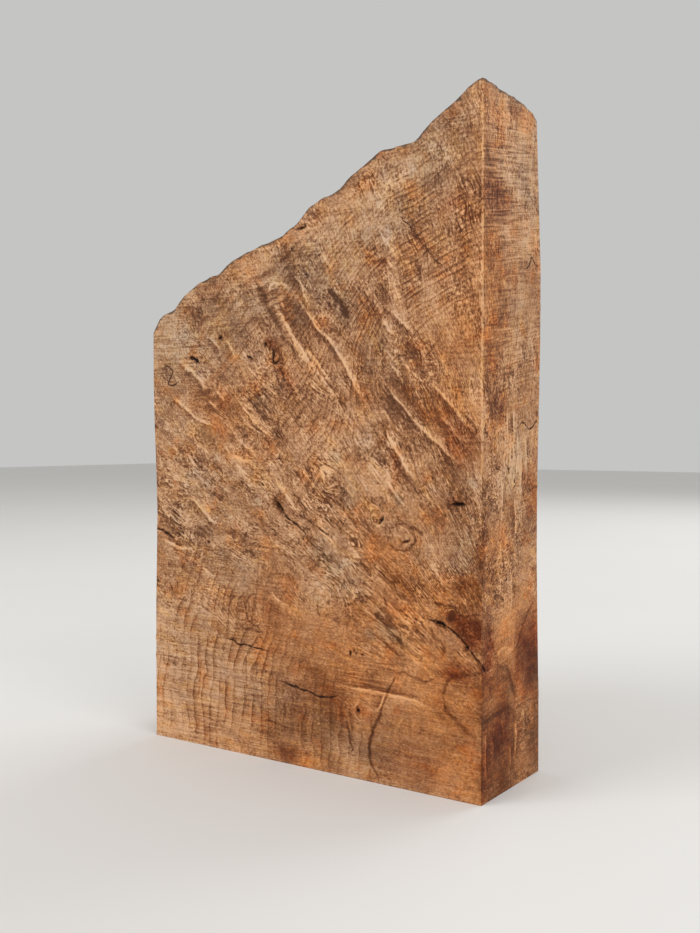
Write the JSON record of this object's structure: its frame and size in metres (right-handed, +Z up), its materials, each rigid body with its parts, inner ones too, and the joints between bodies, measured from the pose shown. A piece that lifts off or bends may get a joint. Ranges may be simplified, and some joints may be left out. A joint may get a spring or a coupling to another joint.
{
  "type": "maple burl block",
  "caption": "Thick sawn block of maple burl standing on its flat base, with a sloping lobed live edge on top and bark pockets in the figured front face.",
  "frame": {"origin": "middle of the block's box at the sawn base", "axes": "+Z up along the block's height, +Y from the sawn front face to the back, +X along the width towards the tall end"},
  "size_m": [0.1916, 0.0582, 0.305],
  "materials": {
    "burl_wood": "raw sawn wood, lightly wetted, satin to matt"
  },
  "bodies": {
    "root": {"burl_block": "burl_wood"}
  },
  "joints": []
}
